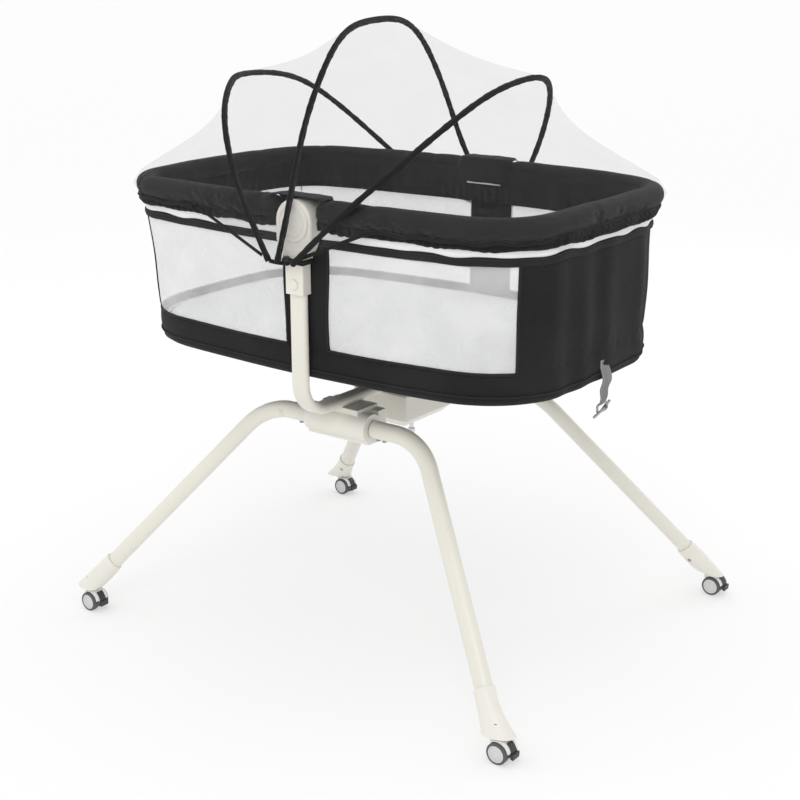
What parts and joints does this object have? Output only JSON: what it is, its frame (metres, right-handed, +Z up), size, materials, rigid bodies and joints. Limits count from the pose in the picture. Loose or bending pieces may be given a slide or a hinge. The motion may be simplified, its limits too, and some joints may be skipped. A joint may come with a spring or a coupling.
{
  "type": "bassinet on stand",
  "caption": "Oval fabric bassinet with mesh windows, padded rim and fan-folding insect net, carried by a U-shaped yoke on splayed folding legs with braked casters.",
  "frame": {"origin": "on the floor, under the middle of the stand", "axes": "+X along the bed towards the foot end, +Y across the bed, +Z up"},
  "size_m": [1.0083, 0.8176, 1.1116],
  "materials": {
    "frame_paint": "satin",
    "shell_plastic": "satin",
    "black_fabric": "matte",
    "padded_fabric": "matte",
    "window_net": "matte",
    "insect_net": "matte",
    "hoop_sleeve": "matte",
    "mattress_cover": "matte",
    "webbing": "matte",
    "board": "matte",
    "steel": "satin",
    "chrome": "polished",
    "tyre_rubber": "matte",
    "disc_plastic": "satin",
    "caster_plastic": "gloss",
    "brake_plastic": "matte"
  },
  "bodies": {
    "stand": {"yoke_tube": "frame_paint", "front_hub": "shell_plastic", "rear_hub": "shell_plastic", "hub_bolts": "steel", "central_housing": "shell_plastic", "housing_cover": "frame_paint"},
    "release_pin": {"release_pin": "chrome"},
    "front_legs": {"front_leg_shaft": "steel", "front_leg_head": "frame_paint", "front_leg_foot": "frame_paint", "foot_casting_front_head": "shell_plastic", "foot_casting_front_foot": "shell_plastic", "front_leg_screws": "steel", "front_caster_stems": "steel"},
    "rear_legs": {"rear_leg_shaft": "steel", "rear_leg_head": "frame_paint", "rear_leg_foot": "frame_paint", "foot_casting_rear_head": "shell_plastic", "foot_casting_rear_foot": "shell_plastic", "rear_leg_screws": "steel", "rear_caster_stems": "steel"},
    "caster_front_head_fork": {"caster_front_head_frame": "caster_plastic"},
    "caster_front_head_wheels": {"caster_front_head_wheel": "disc_plastic", "caster_front_head_tyres": "tyre_rubber"},
    "caster_front_head_brake_tab": {"caster_front_head_brake": "brake_plastic"},
    "caster_front_foot_fork": {"caster_front_foot_frame": "caster_plastic"},
    "caster_front_foot_wheels": {"caster_front_foot_wheel": "disc_plastic", "caster_front_foot_tyres": "tyre_rubber"},
    "caster_front_foot_brake_tab": {"caster_front_foot_brake": "brake_plastic"},
    "caster_rear_head_fork": {"caster_rear_head_frame": "caster_plastic"},
    "caster_rear_head_wheels": {"caster_rear_head_wheel": "disc_plastic", "caster_rear_head_tyres": "tyre_rubber"},
    "caster_rear_head_brake_tab": {"caster_rear_head_brake": "brake_plastic"},
    "caster_rear_foot_fork": {"caster_rear_foot_frame": "caster_plastic"},
    "caster_rear_foot_wheels": {"caster_rear_foot_wheel": "disc_plastic", "caster_rear_foot_tyres": "tyre_rubber"},
    "caster_rear_foot_brake_tab": {"caster_rear_foot_brake": "brake_plastic"},
    "basket": {"rim_joint_front": "shell_plastic", "rim_joint_rear": "shell_plastic", "rim_joint_caps": "shell_plastic", "net_collar_pins": "brake_plastic", "basket_wall": "black_fabric", "window_mesh": "window_net", "floor_board": "board", "mattress": "mattress_cover", "rim_pad_head": "padded_fabric", "rim_pad_foot": "padded_fabric", "rim_tubes": "steel", "net_hoop_foot": "hoop_sleeve", "net_panel_foot_end": "insect_net"},
    "height_button_front": {"height_button_front": "shell_plastic"},
    "height_button_rear": {"height_button_rear": "shell_plastic"},
    "tether": {"tether_strap": "webbing", "tether_hook": "chrome"},
    "net_middle": {"net_hoop_middle": "hoop_sleeve", "net_panel_foot": "insect_net"},
    "net_head": {"net_hoop_head": "hoop_sleeve", "net_panel_head": "insect_net"},
    "net_head_edge": {"net_panel_head_end": "insect_net"}
  },
  "joints": [
    {"name": "release_pin_pull", "type": "slide", "parent": "stand", "child": "release_pin", "axis": [0, 0, -1], "range_m": [0, 0.008], "stiffness_N_per_m": 300, "springref_m": -0.005},
    {"name": "front_leg_fold", "type": "hinge", "parent": "stand", "child": "front_legs", "pos_m": [0, -0.185, 0.415], "axis": [1, 0, 0], "range_deg": [0, 45]},
    {"name": "rear_leg_fold", "type": "hinge", "parent": "stand", "child": "rear_legs", "pos_m": [0, 0.185, 0.415], "axis": [-1, 0, 0], "range_deg": [0, 45]},
    {"name": "caster_front_head_swivel", "type": "hinge", "parent": "front_legs", "child": "caster_front_head_fork", "pos_m": [-0.468, -0.39, 0.03], "axis": [0, 0, 1], "continuous": true},
    {"name": "caster_front_head_roll", "type": "hinge", "parent": "caster_front_head_fork", "child": "caster_front_head_wheels", "pos_m": [-0.456, -0.39, 0.0185], "axis": [0, 1, 0], "continuous": true},
    {"name": "caster_front_head_brake_press", "type": "hinge", "parent": "caster_front_head_fork", "child": "caster_front_head_brake_tab", "pos_m": [-0.456, -0.39, 0.0185], "axis": [0, 1, 0], "range_deg": [0, 15]},
    {"name": "caster_front_foot_swivel", "type": "hinge", "parent": "front_legs", "child": "caster_front_foot_fork", "pos_m": [0.468, -0.39, 0.03], "axis": [0, 0, 1], "continuous": true},
    {"name": "caster_front_foot_roll", "type": "hinge", "parent": "caster_front_foot_fork", "child": "caster_front_foot_wheels", "pos_m": [0.48, -0.39, 0.0185], "axis": [0, 1, 0], "continuous": true},
    {"name": "caster_front_foot_brake_press", "type": "hinge", "parent": "caster_front_foot_fork", "child": "caster_front_foot_brake_tab", "pos_m": [0.48, -0.39, 0.0185], "axis": [0, 1, 0], "range_deg": [0, 15]},
    {"name": "caster_rear_head_swivel", "type": "hinge", "parent": "rear_legs", "child": "caster_rear_head_fork", "pos_m": [-0.468, 0.39, 0.03], "axis": [0, 0, 1], "continuous": true},
    {"name": "caster_rear_head_roll", "type": "hinge", "parent": "caster_rear_head_fork", "child": "caster_rear_head_wheels", "pos_m": [-0.456, 0.39, 0.0185], "axis": [0, 1, 0], "continuous": true},
    {"name": "caster_rear_head_brake_press", "type": "hinge", "parent": "caster_rear_head_fork", "child": "caster_rear_head_brake_tab", "pos_m": [-0.456, 0.39, 0.0185], "axis": [0, 1, 0], "range_deg": [0, 15]},
    {"name": "caster_rear_foot_swivel", "type": "hinge", "parent": "rear_legs", "child": "caster_rear_foot_fork", "pos_m": [0.468, 0.39, 0.03], "axis": [0, 0, 1], "continuous": true},
    {"name": "caster_rear_foot_roll", "type": "hinge", "parent": "caster_rear_foot_fork", "child": "caster_rear_foot_wheels", "pos_m": [0.48, 0.39, 0.0185], "axis": [0, 1, 0], "continuous": true},
    {"name": "caster_rear_foot_brake_press", "type": "hinge", "parent": "caster_rear_foot_fork", "child": "caster_rear_foot_brake_tab", "pos_m": [0.48, 0.39, 0.0185], "axis": [0, 1, 0], "range_deg": [0, 15]},
    {"name": "basket_height", "type": "slide", "parent": "stand", "child": "basket", "axis": [0, 0, 1], "range_m": [0, 0.08]},
    {"name": "height_button_front_press", "type": "slide", "parent": "basket", "child": "height_button_front", "axis": [0, 1, 0], "range_m": [0, 0.0025], "stiffness_N_per_m": 800, "springref_m": -0.003},
    {"name": "height_button_rear_press", "type": "slide", "parent": "basket", "child": "height_button_rear", "axis": [0, -1, 0], "range_m": [0, 0.0025], "stiffness_N_per_m": 800, "springref_m": -0.003},
    {"name": "tether_swing", "type": "hinge", "parent": "basket", "child": "tether", "pos_m": [0.4213, 0, 0.56], "axis": [0, -1, 0], "range_deg": [0, 80]},
    {"name": "net_middle_fold", "type": "hinge", "parent": "basket", "child": "net_middle", "pos_m": [-0.012, 0, 0.728], "axis": [0, 1, 0], "range_deg": [0, 28], "deforming": ["net_panel_foot"]},
    {"name": "net_head_fold", "type": "hinge", "parent": "net_middle", "child": "net_head", "pos_m": [-0.012, 0, 0.728], "axis": [0, 1, 0], "range_deg": [0, 22.1], "deforming": ["net_panel_head"]},
    {"name": "net_head_edge_fold", "type": "hinge", "parent": "net_head", "child": "net_head_edge", "pos_m": [-0.012, 0, 0.728], "axis": [0, 1, 0], "range_deg": [0, 60.1], "deforming": ["net_panel_head_end"]}
  ],
  "couplings": [
    {"joint": "rear_leg_fold", "follows": "front_leg_fold", "ratio": 1},
    {"joint": "net_head_fold", "follows": "net_middle_fold", "ratio": 0.78571},
    {"joint": "net_head_edge_fold", "follows": "net_middle_fold", "ratio": 2.1429}
  ]
}
